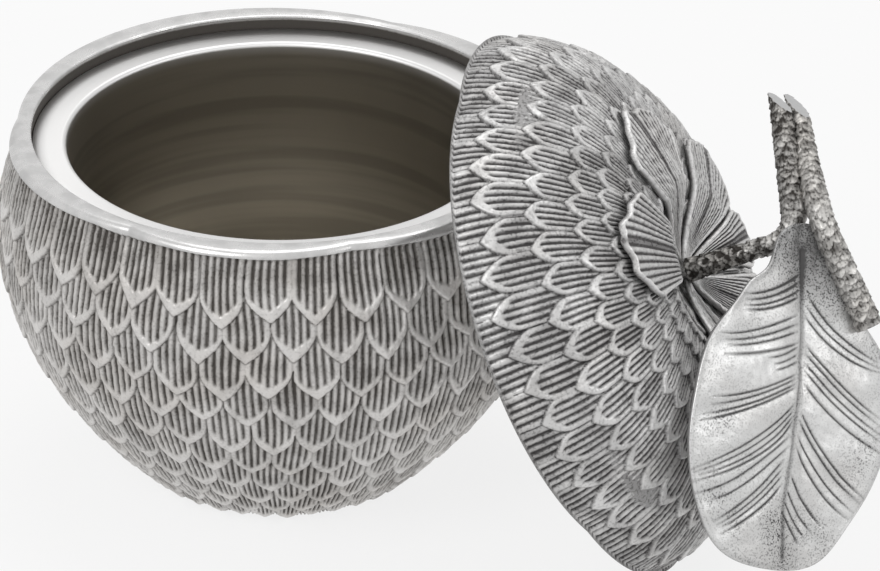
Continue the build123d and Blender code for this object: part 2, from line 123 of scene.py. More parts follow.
class Shader:
    """The nodes of one material or of the world, linked as they are made."""

    def __init__(self, tree):
        self.tree = tree

    def feed(self, node, sockets):
        for name, value in sockets.items():
            if isinstance(value, Wire):
                self.tree.links.new(value.socket, node.inputs[name])
            else:
                node.inputs[name].default_value = value

    def node(self, kind, settings, sockets, output=0):
        node = self.tree.nodes.new(kind)
        for name, value in settings.items():
            setattr(node, name, value)
        self.feed(node, sockets)
        return Wire(self, node.outputs[output])

    def rays(self, *kinds):
        """1 for rays of these kinds, and 0 for the others."""
        found = [self.node("ShaderNodeLightPath", {}, {}, f"Is {kind} Ray") for kind in kinds]
        return sum(found, 0.0).kept()


class Finish(Shader):
    """One material, built node by node on a Principled shader."""

    def __init__(self, name):
        self.material = bpy.data.materials.new(name)
        self.material.use_nodes = True
        super().__init__(self.material.node_tree)
        self.place = self.node("ShaderNodeTexCoord", {}, {}, "Object")

    def surface(self, sockets):
        self.feed(self.tree.nodes["Principled BSDF"], sockets)
        return self.material

    def noise(self, size, detail=3.0, place=None):
        """Cloudy noise whose lumps are about size millimetres across."""
        sockets = {"Vector": place or self.place, "Scale": 1 / (size * mm), "Detail": detail}
        return self.node("ShaderNodeTexNoise", {}, sockets)

    def stretched(self, along):
        """Texture place squeezed along the axes, so that noise on it runs in streaks."""
        return self.node("ShaderNodeMapping", {}, {"Vector": self.place, "Scale": along})

    def ramp(self, value, low, high):
        """0 below low, 1 above high, and a smooth rise between them."""
        sockets = {"Value": value, "From Min": low, "From Max": high}
        return self.node("ShaderNodeMapRange", {"interpolation_type": "SMOOTHSTEP"}, sockets)

    def mix(self, share, first, second):
        first, second = (c if isinstance(c, Wire) else (*c, 1.0) for c in (first, second))
        return self.node("ShaderNodeMix", {"data_type": "RGBA"}, {0: share, 6: first, 7: second}, 2)

    def mark(self, name):
        """A value stored on the mesh's points."""
        return self.node("ShaderNodeAttribute", {"attribute_name": name}, {}, "Fac")

    def bump(self, height, depth, strength=1.0):
        sockets = {"Height": height, "Distance": depth * mm, "Strength": strength}
        return self.node("ShaderNodeBump", {}, sockets, "Normal")


def dress(node, material):
    """Gives a piece that comes straight from the model its finish."""
    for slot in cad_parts[node].material_slots:
        slot.material = material


def dimmed(tint, share):
    return [share * part for part in tint]


def mottled_finish(name, first, second, more, lump, detail, depth):
    """Two tones in small lumps, which stand out to a depth."""
    finish = Finish(name)
    lumps = finish.noise(lump, detail)
    return finish.surface({"Base Color": finish.mix(lumps, first, second),
                           "Normal": finish.bump(lumps, depth), **more})


def steel_finish(name, tint, rough, rougher, shade, cloud, grain, detail, depth):
    """Bare steel: wide clouds of a darker shade, and a fine grain."""
    finish = Finish(name)
    fine = finish.noise(grain, detail)
    colour = finish.mix(finish.noise(cloud, 2), tint, dimmed(tint, shade))
    return finish.surface({"Base Color": colour, "Metallic": 1.0,
                           "Roughness": rough + rougher * fine,
                           "Normal": finish.bump(fine, depth)})


def turned_steel(name, tint, rough):
    return steel_finish(name, tint, rough, rougher=0.15, shade=0.82, cloud=14, grain=0.6, detail=4,
                        depth=0.02)


felt = {"Roughness": 0.95, "Sheen Weight": 0.3}
dress("base_pad", mottled_finish("black felt", felt_colour, felt_fleck, felt, lump=0.5, detail=5,
                                 depth=0.25))
dress("base_plate", turned_steel("turned plate steel", plate_steel, 0.38))
dress("base_screws", turned_steel("screw steel", screw_steel, 0.28))


# Body of the bucket: an apple-shaped casting with five lobes, covered outside in rows of
# overlapping ribbed scales whose tips point down, under a smooth polished rim. Dark patina is
# left in the hollows and the high places are rubbed bright. Shade is painted below each
# scale's edge and on the collar's wall inside the rim.
body_height = 144.5
belly_radius = 110.8
belly_height = 103.0
rim_radius = 105.4
base_radius = 54.0
body_wall = 3.5
body_base = 1.5
floor_top = 7.5
floor_hole_radius = 34.0
plate_seat_radius = 42.1
plate_seat_depth = 2.5
rim_round = 3.0
crease_angles = (5.0, 64.0, 174.0, 236.0, 285.0)
crease_depth = 4.5
crease_fade_height = 95.0
collar_radius = 95.9
collar_round = 0.9
shelf_radius = 88.0
shelf_top = 137.0
shelf_under = 134.0

rim_crown = 0.25
rim_dip = 0.25

body_columns = 1520
body_step = 0.52
body_scale_count = 38
body_scale_turn = 2.4
body_tips = (30.2, 45.6, 62.4, 77.6, 94.0, 110.5, 126.0, 139.5, 151.0, 161.0, 171.0)
body_scales = {"ribs": 6, "drop": 1.6, "groove": 0.95, "nose": 1.35, "point": 1.8, "border": 1.5,
               "smooth_tip": 7.5, "first_tip": 1.2, "uneven": 1.5, "ink": 0.86}
rim_band = 2.2
bare_reach = 7.0
flute_bed = 0.22
edge_round = 0.5
# Width of the painted shade along each scale's edge.
edge_shade_width = 0.3

body_light = (0.68, 0.665, 0.65)
body_dark = (0.080, 0.072, 0.064)
body_warm = (0.58, 0.55, 0.52)
rim_light = (0.62, 0.615, 0.61)


def ramped(value, low, high):
    """Smooth rise from 0 at low to 1 at high."""
    share = np.clip((value - low) / (high - low), 0, 1)
    return share * share * (3 - 2 * share)


def hill(value, width):
    """1 where value is 0, falling off to both sides."""
    return np.exp(-(value / width) ** 2)


def fading(distance, reach):
    """1 up to distance 0, and dying away past it."""
    return np.exp(-np.maximum(distance, 0) / reach)


def ripple(points, size, seed):
    """Smooth uneven field over points, mostly within -1 and 1: waves in random directions."""
    rng = np.random.default_rng(seed)
    total = np.zeros(points.shape[:-1])
    for _ in range(10):
        way = rng.normal(size=3)
        way *= 2 * pi * rng.uniform(0.6, 1.5) / (size * np.linalg.norm(way))
        total += np.sin(points @ way + rng.uniform(0, 2 * pi))
    return total / 3.2


def lobe_radius(angle, radius, depth):
    """Radius of the lobed outline at angles in degrees: one arc per lobe, from crease to crease."""
    result = radius + 0 * angle
    low = radius - depth
    for start, end in zip(crease_angles, crease_angles[1:] + (crease_angles[0] + 360.0,)):
        past = (angle - start) % 360
        centre = (radius ** 2 - low ** 2) / (2 * (radius - low * cos(radians(end - start) / 2)))
        turn = np.radians(past - (end - start) / 2)
        arc = centre * np.cos(turn) + np.sqrt(
            np.maximum((radius - centre) ** 2 - (centre * np.sin(turn)) ** 2, 0))
        result = np.where(past < end - start, arc, result)
    return result


def scale_relief(column, run, half, tips, seed, count, ribs, drop, groove, nose, point, border,
                 smooth_tip, uneven, ink, first_tip=1.0, shadow=0.55, side_cut=0.5,
                 root_shade=0.14, side_shadow=1.0):
    """Height under the envelope, and patina with painted shade, of overlapping fluted scales.

    column counts scales round the piece, run is the distance towards the tips, and half is
    half a scale's width. A scale is nose half-widths long where it narrows, stands drop over
    the next row, and has its flutes inside a smooth border and a bare tip. The darkening past
    its edge on the row below, along its edge and towards its root is painted shade.
    """
    rng = np.random.default_rng(seed)
    height = np.full(run.shape, -drop)
    patina_and_shade = np.full(run.shape, 0.9)
    shade = np.zeros(run.shape)
    bare = np.ones(run.shape, bool)
    last = tips[0] - 1.4 * (tips[1] - tips[0])
    for row, tip in enumerate(tips):
        slide, sway, tint, lean = rng.uniform(-1, 1, (4, count))
        offset = 0.5 * (row % 2)
        index = np.floor(column - offset + 0.5).astype(int)
        pick = index % count
        across = (column - offset - index - 0.04 * sway[pick]) * 2 * half
        over = tip + uneven * slide[pick] - run
        length = nose * half
        share = np.clip(over / length, 0, 1)
        width = half * (1 - (1 - share) ** point)
        slope = point * (1 - share) ** (point - 1) / nose
        edge = (width - np.abs(across)) / np.sqrt(1 + slope ** 2)
        inside = bare & (over > 0) & (edge > 0)
        # Painted shade: dark past each scale's edge on the row below, fading over the shadow width,
        # and weaker along the sides.
        past = np.where(over > 0, -edge, np.hypot(across, over))
        blunt = side_shadow + (1 - side_shadow) * slope ** 2 / (1 + slope ** 2)
        dark = np.where(over > 0, blunt, 1) * fading(past, shadow)
        shade = np.where(bare & ~inside, np.maximum(shade, dark), shade)
        bare_tip = smooth_tip * (first_tip if row == 0 else 1) * (1 + 0.25 * sway[pick])
        small = np.minimum(1, half / bare_reach)
        smooth_edge = border + (bare_tip * small - border) * hill(over, bare_reach * small)
        flute = across / (2 * half) * ribs + 0.06 * lean[pick] * over / length + 0.5 * (ribs % 2 == 0)
        fray = 1 + 0.3 * np.sin(7.3 * np.floor(flute) + 5.1 * pick + row)
        field = ramped(edge, 0.6 * smooth_edge * fray, 0.6 * smooth_edge * fray + border)
        wave = 0.5 - 0.5 * np.cos(2 * pi * flute)
        cut = field * wave ** 1.9
        lift = -drop * np.clip(over / (tip - last + length), 0, 1.2)
        level = lift - side_cut * fading(edge, edge_round) - flute_bed * field - groove * cut
        # Random tint and patina in the flutes; the edge line and the rise towards the root are painted
        # shade at the step and under the row above.
        darkening = 0.05 + 0.09 * tint[pick] + ink * cut + 0.55 * blunt * fading(edge, edge_shade_width)
        darkening += 0.08 * field + root_shade * np.clip(over / (tip - last), 0, 1)
        height = np.where(inside, level, height)
        patina_and_shade = np.where(inside, darkening, patina_and_shade)
        bare &= ~inside
        last = tip
    return height, np.clip(np.maximum(patina_and_shade, 0.95 * shade), 0, 1)


def marked(patina_and_shade, stipple_and_shade=0.0, polish=0.0):
    """Marks for the points of a grid, which cast_finish reads."""
    return {"patina_and_shade": patina_and_shade, "polish": polish, "stipple_and_shade": stipple_and_shade}


def grid_faces(rows, columns, wrap_rows, wrap_columns):
    """Quads between the points of a grid, and the corners' places on a unit square."""
    i, j = np.meshgrid(np.arange(rows - (not wrap_rows)), np.arange(columns - (not wrap_columns)),
                       indexing="ij")
    below, beside = (i + 1) % rows, (j + 1) % columns
    faces = np.stack([i * columns + j, i * columns + beside, below * columns + beside,
                      below * columns + j], axis=-1)
    across = np.stack([j, j + 1, j + 1, j], axis=-1) / j.shape[1]
    along = np.stack([i, i, i + 1, i + 1], axis=-1) / i.shape[0]
    return faces.reshape(-1, 4), np.stack([across, along], axis=-1).reshape(-1, 2)


def joined_grids(grids):
    """Corners, quads, flat places and marks of closed grids, turned to face outwards."""
    corners, quads, flats, marks = [], [], [], {}
    first = 0
    for number, (points, wraps, values) in enumerate(grids):
        rows, columns = points.shape[:2]
        faces, flat = grid_faces(rows, columns, *wraps)
        flat_points = points.reshape(-1, 3)
        a, b, c, d = (flat_points[faces[:, k]] for k in range(4))
        if np.sum(np.cross(c - a, d - b) * (a + b + c + d)) < 0:
            faces = faces[:, ::-1]
            flat = flat.reshape(-1, 4, 2)[:, ::-1].reshape(-1, 2)
        flat = flat * (1 / len(grids), 1) + (number / len(grids), 0)
        corners.append(flat_points * mm)
        quads.append(faces + first)
        flats.append(flat)
        for mark, value in values.items():
            marks.setdefault(mark, []).append(np.broadcast_to(value, (rows, columns)).ravel())
        first += rows * columns
    return np.concatenate(corners), np.concatenate(quads), np.concatenate(flats), marks


def make_piece(name, grids, material, body, nodes, weld=False):
    """One piece from closed grids of points in millimetres, each (points, wraps, marks)."""
    corners, quads, flats, marks = joined_grids(grids)
    mesh = bpy.data.meshes.new(name)
    mesh.vertices.add(len(corners))
    mesh.vertices.foreach_set("co", corners.astype(np.float32).ravel())
    mesh.loops.add(quads.size)
    mesh.loops.foreach_set("vertex_index", quads.astype(np.int32).ravel())
    mesh.polygons.add(len(quads))
    mesh.polygons.foreach_set("loop_start", np.arange(0, quads.size, 4, dtype=np.int32))
    mesh.polygons.foreach_set("use_smooth", np.ones(len(quads), bool))
    mesh.update(calc_edges=True)
    mesh.uv_layers.new(name="OFBake").data.foreach_set("uv", flats.astype(np.float32).ravel())
    for mark, values in marks.items():
        layer = mesh.attributes.new(mark, "FLOAT", "POINT")
        layer.data.foreach_set("value", np.concatenate(values).astype(np.float32))
    if weld:
        work = bmesh.new()
        work.from_mesh(mesh)
        bmesh.ops.remove_doubles(work, verts=work.verts, dist=0.002 * mm)
        work.to_mesh(mesh)
        work.free()
    piece = placed(name, mesh)
    mesh.materials.append(material)
    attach(piece, body)
    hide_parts(*nodes)
    return piece


def cast_finish(name, light, dark, warm, rough=0.42, grain=0.10, shine=None, pit=1.1):
    """Antiqued cast metal, from the marks on the mesh: dark patina with painted shade, stippled
    patina with some painted shade, and a polish where it is marked with polish."""
    finish = Finish(name)
    patina_and_shade, stipple_and_shade, polish = finish.mark("patina_and_shade"), finish.mark("stipple_and_shade"), finish.mark("polish")
    cloud = finish.noise(26, 3)
    fleck = finish.noise(pit, 5)
    pits = finish.ramp(fleck, 0.5, 0.64)
    darkening = patina_and_shade * (0.72 + 0.5 * cloud) + 0.16 * pits * (1 - polish) + stipple_and_shade * (0.25 + 0.75 * pits)
    darkening = darkening.kept()
    colour = finish.mix(0.55 * finish.ramp(cloud, 0.42, 0.68), light, warm)
    smear = finish.ramp(finish.noise(9, 3), 0.36, 0.66)
    polished = finish.mix(0.5 * smear, shine or light, dimmed(shine or light, 0.6))
    colour = finish.mix(polish, colour, polished)
    colour = finish.mix(darkening ** 1.15, colour, dark)
    roughness = rough + 0.3 * darkening + 0.1 * (fleck - 0.5) - (rough - 0.24 - 0.12 * smear) * polish
    height = fleck * (1 - 0.9 * polish)
    return finish.surface({"Base Color": colour, "Metallic": 0.85 - 0.35 * darkening,
                           "Roughness": roughness.kept(), "Normal": finish.bump(height, grain)})


def body_radius(z):
    low = belly_radius - (belly_radius - base_radius) * ((belly_height - z) / belly_height) ** 2
    rise = (z - belly_height) / (body_height - belly_height)
    return np.where(z < belly_height, low, belly_radius - (belly_radius - rim_radius) * rise ** 2)


def body_crease(z):
    share = np.maximum(0, (z - crease_fade_height) / (body_height - crease_fade_height))
    return crease_depth * share ** 1.5


def run_along(points):
    """Distance of each point from the first one, along the line that they make."""
    return np.concatenate([[0], np.cumsum(np.linalg.norm(np.diff(points, axis=0), axis=1))])


def evenly(radii, heights, step):
    """Points at an even step along a profile, with their distance along it."""
    run = run_along(np.stack([radii, heights], axis=-1))
    places = np.linspace(0, run[-1], int(run[-1] / step) + 1)
    return np.interp(places, run, radii), np.interp(places, run, heights), places


def ring_points(angle, radius, height):
    """Grid of points from a radius at each angle and height."""
    radius = np.broadcast_to(radius, np.broadcast(angle, radius, height).shape)
    turn = np.radians(angle)
    return np.stack([radius * np.cos(turn), radius * np.sin(turn), height + 0 * radius], axis=-1)


def raised(angle, radius, z, lobed, height):
    """Grid of points a height outside a lobed surface, square to its profile."""
    tilt = np.arctan2(np.gradient(z[:, 0]), np.gradient(radius[:, 0]))[:, None]
    return ring_points(angle, lobed - height * np.sin(tilt), z + height * np.cos(tilt))


def quarter_turn(steps):
    """Angles over a quarter turn, without the first of them."""
    return np.radians(np.linspace(0, 90, steps))[1:]


def all_round(columns):
    return np.linspace(0, 360, columns, endpoint=False)[None, :]


def body_outside(angle):
    """The scaled outside, from the foot up to the rim's shoulder."""
    top = body_height - rim_round
    fine = np.linspace(top, body_base, 600)
    radius, z, run = evenly(body_radius(fine), fine, body_step)
    radius, z, run = radius[:, None], z[:, None], run[:, None] + rim_round
    lobed = lobe_radius(angle, radius, body_crease(z))
    smooth = ring_points(angle, lobed, z)
    column = (angle - 270 + body_scale_turn) * body_scale_count / 360 + 0.035 * ripple(smooth, 45, 11)
    run = run + 0.9 * ripple(smooth, 38, 12) + 0 * column
    half = pi * lobed / body_scale_count
    # The returned mark holds patina and painted shade below the scales' edges.
    height, patina_and_shade = scale_relief(column, run, half, body_tips, 3, body_scale_count, **body_scales)
    band = ramped(run, rim_band, rim_band + 1.2)
    worn = 0.09 * ripple(smooth, 5, 14) + 0.05 * ripple(smooth, 2.2, 15)
    height = band * (height - 0.3 + worn)
    under_rim = 0.2 * ramped(-run, -24.0, -6.0)
    patina_and_shade = band * np.clip(patina_and_shade + under_rim + 0.09 * ripple(smooth, 9, 16), 0, 1)
    points = raised(angle, radius, z, lobed, height)
    return points[::-1], marked(patina_and_shade[::-1], polish=1 - band[::-1])


def body_inside(angle):
    """Over the rim, down the collar and the hidden cavity, and out under the foot."""
    top = body_height - rim_round
    edge, depth = float(body_radius(top)), float(body_crease(top))
    rings = []
    for bend in quarter_turn(9):
        rings.append(ring_points(angle, lobe_radius(angle, edge - rim_round * (1 - cos(bend)), depth),
                                 top + rim_round * sin(bend)))
    outer = lobe_radius(angle, edge - rim_round, depth)
    inner = collar_radius + collar_round
    for share in (0.25, 0.5, 0.75, 1.0):
        fall = rim_dip * share - rim_crown * sin(pi * share)
        rings.append(ring_points(angle, outer + (inner - outer) * share, body_height - fall))
    for bend in quarter_turn(6):
        rings.append(ring_points(angle, inner - collar_round * sin(bend),
                                 body_height - rim_dip - collar_round * (1 - cos(bend))))
    polish = [1.0] * len(rings)
    rings += [ring_points(angle, collar_radius, z) for z in (142.0, 140.0, 138.0, shelf_top)]
    rings += [ring_points(angle, shelf_radius, z) for z in (shelf_top, shelf_under)]
    for z in np.linspace(shelf_under, floor_top, 14):
        rings.append(ring_points(angle, body_radius(z) - body_crease(z) - 1.25 * body_wall, z))
    seat = body_base + plate_seat_depth
    foot = [(floor_hole_radius, floor_top), (floor_hole_radius, seat), (plate_seat_radius, seat),
            (plate_seat_radius, body_base)]
    rings += [ring_points(angle, radius, z) for radius, z in foot]
    polish += [0.0] * (len(rings) - len(polish))
    polish = np.array(polish)[:, None]
    # The collar's wall and the cavity under the rim are marked fully dark: painted shade. The rim over
    # them is polished.
    return np.concatenate(rings), marked(1.25 * (1 - polish), polish=polish)


def stacked(first, second):
    """Two grids with the same columns, one after the other, with their marks."""
    (points_a, marks_a), (points_b, marks_b) = first, second
    marks = {}
    for name in marks_a:
        above = np.broadcast_to(marks_a[name], points_a.shape[:2])
        marks[name] = np.concatenate([above, np.broadcast_to(marks_b[name], points_b.shape[:2])])
    return np.concatenate([points_a, points_b]), marks


body_angles = all_round(body_columns)
body_points, body_marks = stacked(body_outside(body_angles), body_inside(body_angles))
make_piece("scaled_body", [(body_points, (True, True), body_marks)],
           cast_finish("antiqued body metal", body_light, body_dark, body_warm, shine=rim_light),
           "bucket", ["outer_shell"])


# Inside the double wall: a foam jacket between casting and liner, and a thin grey rubber ring
# that beds the liner's flange on the collar's shelf.
foam_colour = (0.80, 0.76, 0.62)
foam_shadow = (0.66, 0.61, 0.48)
rubber_colour = (0.09, 0.09, 0.09)
rubber_bloom = (0.16, 0.16, 0.16)

foam = mottled_finish("insulation foam", foam_shadow, foam_colour, {"Roughness": 0.9}, lump=1.6,
                      detail=4, depth=0.4)
rubber = mottled_finish("grey rubber", rubber_colour, rubber_bloom, {"Roughness": 0.62}, lump=6,
                        detail=3, depth=0.02)
dress("insulation_jacket", foam)
dress("liner_gasket", rubber)


# Liner: a cup spun from sheet steel, with a rolled lip and a flat polished flange that rests in
# the collar. Its inside keeps the faint rings of the spinning tool.
liner_wall = 1.0
liner_mouth_radius = 82.5
liner_foot_radius = 73.0
liner_floor = 19.8
flange_top = 138.8
flange_radius = 95.6
liner_corner = 30.0
liner_roll = 2.0
liner_columns = 480
liner_bright = (0.66, 0.655, 0.65)
# Colour down the cup, darker and warmer than the steel: painted reflection of a dark room.
liner_reflection_tone = (0.50, 0.47, 0.415)


def rounded(before, corner, after, radius, steps):
    """Arc of that radius that rounds a corner between two straight runs of a profile."""
    before, corner, after = (np.array(place) for place in (before, corner, after))
    start = (before - corner) / np.linalg.norm(before - corner)
    end = (after - corner) / np.linalg.norm(after - corner)
    half = np.arccos(np.clip(start @ end, -1, 1)) / 2
    centre = corner + (start + end) / np.linalg.norm(start + end) * radius / sin(half)
    first = corner + start * radius / np.tan(half) - centre
    last = corner + end * radius / np.tan(half) - centre
    turn = atan2(first[0] * last[1] - first[1] * last[0], first @ last)
    arc = []
    for share in np.linspace(0, 1, steps):
        c, s = cos(turn * share), sin(turn * share)
        arc.append(centre + (first[0] * c - first[1] * s, first[0] * s + first[1] * c))
    return np.array(arc)


def liner_profile():
    """Closed run of (radius, height) round the sheet: inside, over the flange, and outside."""
    under = flange_top - liner_wall
    floor, foot = (0.0, liner_floor), (liner_foot_radius, liner_floor)
    lip, rim = (liner_mouth_radius, flange_top), (flange_radius, flange_top)
    back_foot = (liner_foot_radius + liner_wall, liner_floor - liner_wall)
    back_lip, back_rim = (liner_mouth_radius + liner_wall, under), (flange_radius, under)
    runs = [np.array([floor, (14.0, liner_floor), (28.0, liner_floor)]),
            rounded(floor, foot, lip, liner_corner, 26),
            rounded(foot, lip, rim, liner_roll, 12),
            np.array([(flange_radius - 0.3, flange_top), (flange_radius, flange_top - 0.3),
                      (flange_radius, under)]),
            rounded(back_rim, back_lip, back_foot, liner_roll - liner_wall, 8),
            rounded(back_lip, back_foot, (0.0, back_foot[1]), liner_corner + liner_wall, 14),
            np.array([(0.0, back_foot[1])])]
    profile = [runs[0][0]]
    for point in np.concatenate(runs)[1:]:
        gap = np.linalg.norm(point - profile[-1])
        for share in np.linspace(0, 1, int(gap / 6) + 2)[1:]:
            profile.append(profile[-1] + (point - profile[-1]) * share if share < 1 else point)
    return np.array(profile)


def liner_finish():
    """Bright at the flange, greyer down the cup, with fine rings; the grey down the cup, its soft
    upright clouds and its bands are painted reflection.
    """
    finish = Finish("spun liner steel")
    height = finish.node("ShaderNodeSeparateXYZ", {}, {0: finish.place}, "Z")
    deep = finish.ramp(height, (flange_top - 1.0) * mm, (flange_top - 6.0) * mm)
    rings = finish.noise(30, 4, finish.stretched((0.05, 0.05, 60.0)))
    # Soft bands and upright clouds in the colour down the cup are painted reflections.
    reflection_bands = finish.noise(60, 2, finish.stretched((0.4, 0.4, 9.0)))
    cloud = finish.noise(45, 2, finish.stretched((1.0, 1.0, 0.2)))
    colour = finish.mix(0.5 * cloud + 0.5 * finish.ramp(reflection_bands, 0.4, 0.62), liner_reflection_tone,
                        dimmed(liner_reflection_tone, 0.62))
    colour = finish.mix(deep, liner_bright, colour)
    return finish.surface({"Base Color": colour, "Metallic": 1.0, "Anisotropic": 0.55,
                           "Roughness": 0.44 - deep * (0.14 - 0.14 * rings),
                           "Normal": finish.bump(rings * deep, 0.02)})


profile = liner_profile()
liner_points = ring_points(all_round(liner_columns), profile[:, :1], profile[:, 1:])
liner_steel = liner_finish()
make_piece("spun_liner", [(liner_points, (False, True), {})], liner_steel, "bucket",
           ["liner"], weld=True)


# The lid's own frame: its rim plane and axis, as it leans with its low edge on the table. Its
# axis goes through the washer inside it, so the place comes from that piece.
lean_tilt = radians(64.2)
lean_azimuth = radians(-14.6)
washer_height = 39.75

lid_out = np.array([cos(lean_azimuth), sin(lean_azimuth), 0.0])
lid_normal = lid_out * sin(lean_tilt) + (0.0, 0.0, cos(lean_tilt))
lid_uphill = lid_out * -cos(lean_tilt) + (0.0, 0.0, sin(lean_tilt))
lid_side = np.cross(lid_normal, lid_uphill)
low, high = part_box("stem_washer")
lid_centre = (np.array(low) + np.array(high)) / (2 * mm) - lid_normal * washer_height


def on_lid(points):
    """Points in the lid's frame, moved to where the lid leans."""
    return lid_centre + points @ np.array([lid_uphill, lid_side, lid_normal])


# Lid: a cast dome with the body's lobes and a dimple in its middle. Rows of scales run outwards
# from under the calyx, and a band of fine ribs square to the edge finishes it.
lid_radius = 107.5
dome_height = 54.6
dome_power = 1.58
dome_side_power = 3.48
dimple_radius = 35.0
dimple_floor = 44.0
lid_wall = 3.5
lid_rim_round = 1.5
lid_bore_radius = 96.5
lid_shoulder = 6.8
lid_crease_fade_radius = 60.0
lid_turn = 53.0
bolt_hole_radius = 3.1

lid_columns = 1452
lid_step = 0.5
lid_scale_count = 44
lid_tip_radii = (20.5, 28.8, 37.5, 47.5, 58.5, 71.0, 84.5, 97.0, 105.9)
lid_edge_run = 160.0
lid_scales = {"ribs": 5, "drop": 1.6, "groove": 0.85, "nose": 1.7, "point": 2.2, "border": 1.4,
              "smooth_tip": 7.0, "uneven": 1.5, "ink": 0.88}

lid_light = (0.67, 0.665, 0.66)
lid_dark = (0.070, 0.066, 0.066)
lid_warm = (0.60, 0.585, 0.57)


def dome_rise(radius):
    """Height of the lid's outside over its rim plane, dimple included."""
    radius = np.minimum(radius, lid_radius)
    rise = dome_height * (1 - (radius / lid_radius) ** dome_side_power) ** (1 / dome_power)
    dip = np.maximum(0, 1 - (radius / dimple_radius) ** 2) ** 1.5
    return rise - (rise - dimple_floor) * dip


def dome_reach(height):
    """Radius at which the side of the dome stands that high."""
    return lid_radius * (1 - (height / dome_height) ** dome_power) ** (1 / dome_side_power)


def lid_crease(radius):
    share = np.maximum(0, (radius - lid_crease_fade_radius) / (lid_radius - lid_crease_fade_radius))
    return crease_depth * share ** 1.2


def lid_outside(angle):
    """The scaled outside, from the bolt hole out to the edge."""
    inner = np.linspace(bolt_hole_radius, 96, 400)
    side = dome_rise(96.0) * np.linspace(1, 0, 200)[1:] + lid_rim_round * np.linspace(0, 1, 200)[1:]
    radii, heights = np.append(inner, dome_reach(side)), np.append(dome_rise(inner), side)
    radius, z, run = evenly(radii, heights, lid_step)
    keep = (radius > 24) | (np.arange(len(radius)) % 6 == 0)
    radius, z, run = radius[keep, None], z[keep, None], run[keep, None]
    lobed = lobe_radius(angle + lid_turn, radius, lid_crease(radius))
    smooth = ring_points(angle, lobed, z)
    tips = tuple(np.interp(lid_tip_radii, radius[:, 0], run[:, 0])) + (lid_edge_run,)
    column = angle * lid_scale_count / 360 + 0.05 * ripple(smooth, 48, 21)
    spread = run + 0.8 * ripple(smooth, 36, 22) + 0 * column
    half = pi * lobed / lid_scale_count
    # The returned mark holds patina and painted shade below the scales' edges.
    height, patina_and_shade = scale_relief(column, spread, half, tips, 5, lid_scale_count, **lid_scales)
    worn = 0.08 * ripple(smooth, 4.5, 24) + 0.05 * ripple(smooth, 2.1, 25)
    height = (height - 0.35 + worn) * ramped(z, 0.2, 1.2)
    patina_and_shade = np.clip(patina_and_shade + 0.07 + 0.10 * ripple(smooth, 10, 26), 0, 1)
    points = raised(angle, radius, z, lobed, height)
    return points, marked(patina_and_shade, stipple_and_shade=0.1)


def lid_inside(angle):
    """Round the edge, up the bore and back along the hidden ceiling to the bolt hole."""
    edge = dome_reach(lid_rim_round)
    depth = lid_crease(edge)
    rings = []
    for bend in quarter_turn(7):
        radius = lobe_radius(angle + lid_turn, edge - lid_rim_round * (1 - cos(bend)), depth)
        rings.append(ring_points(angle, radius, lid_rim_round * (1 - sin(bend))))
    bore = [(lid_bore_radius + 0.5, 0.0), (lid_bore_radius, 0.5), (lid_bore_radius, lid_shoulder)]
    rings += [ring_points(angle, radius, z) for radius, z in bore]
    for radius in np.linspace(lid_bore_radius - 2, bolt_hole_radius, 14):
        ceiling = float(dome_rise(radius)) - 1.6 * lid_wall
        rings.append(ring_points(angle, radius, max(lid_shoulder, ceiling)))
    return np.concatenate(rings), marked(0.6, stipple_and_shade=0.1)


lid_angles = all_round(lid_columns)
lid_points, lid_marks = stacked(lid_outside(lid_angles), lid_inside(lid_angles))
lid_metal = cast_finish("antiqued lid metal", lid_light, lid_dark, lid_warm)
make_piece("scaled_lid", [(on_lid(lid_points), (True, True), lid_marks)], lid_metal, "lid",
           ["lid_shell"])


# Under the dome: foam, and a pressed steel plate whose skirt drops into the collar, with a soft
# seal round it. The stem's bolt and washer are hidden in the foam.
dress("lid_insulation", foam)
dress("lid_plate", steel_finish("pressed plate steel", liner_bright, rough=0.2, rougher=0.12,
                                shade=0.86, cloud=30, grain=1.2, detail=5, depth=0.008))
dress("lid_seal", rubber)
bolt_steel = turned_steel("bolt steel", screw_steel, 0.3)
dress("stem_bolt", bolt_steel)
dress("stem_washer", bolt_steel)


# Calyx: six thin cast sepals round the stem's foot, following the dome and its dimple, fluted
# from the middle outwards, with a bright raised border that curls up at the ends.
sepals = ((352.0, 24.0, 67.0, 1.2, 17), (294.0, 22.0, 60.0, 1.2, 15), (257.0, 16.0, 55.0, 1.5, 11),
          (54.0, 23.0, 66.0, 0.9, 15), (150.0, 22.0, 55.0, 0.7, 13), (212.0, 24.0, 57.0, 0.9, 15))
sepal_shoulder = 0.8
sepal_steps = 120
sepal_root = 1.5
sepal_sheet = 0.9
flute_depth = 0.75
fold_depth = 0.45
edge_depth = 1.2
calyx_light = (0.72, 0.715, 0.71)
calyx_dark = (0.085, 0.08, 0.08)


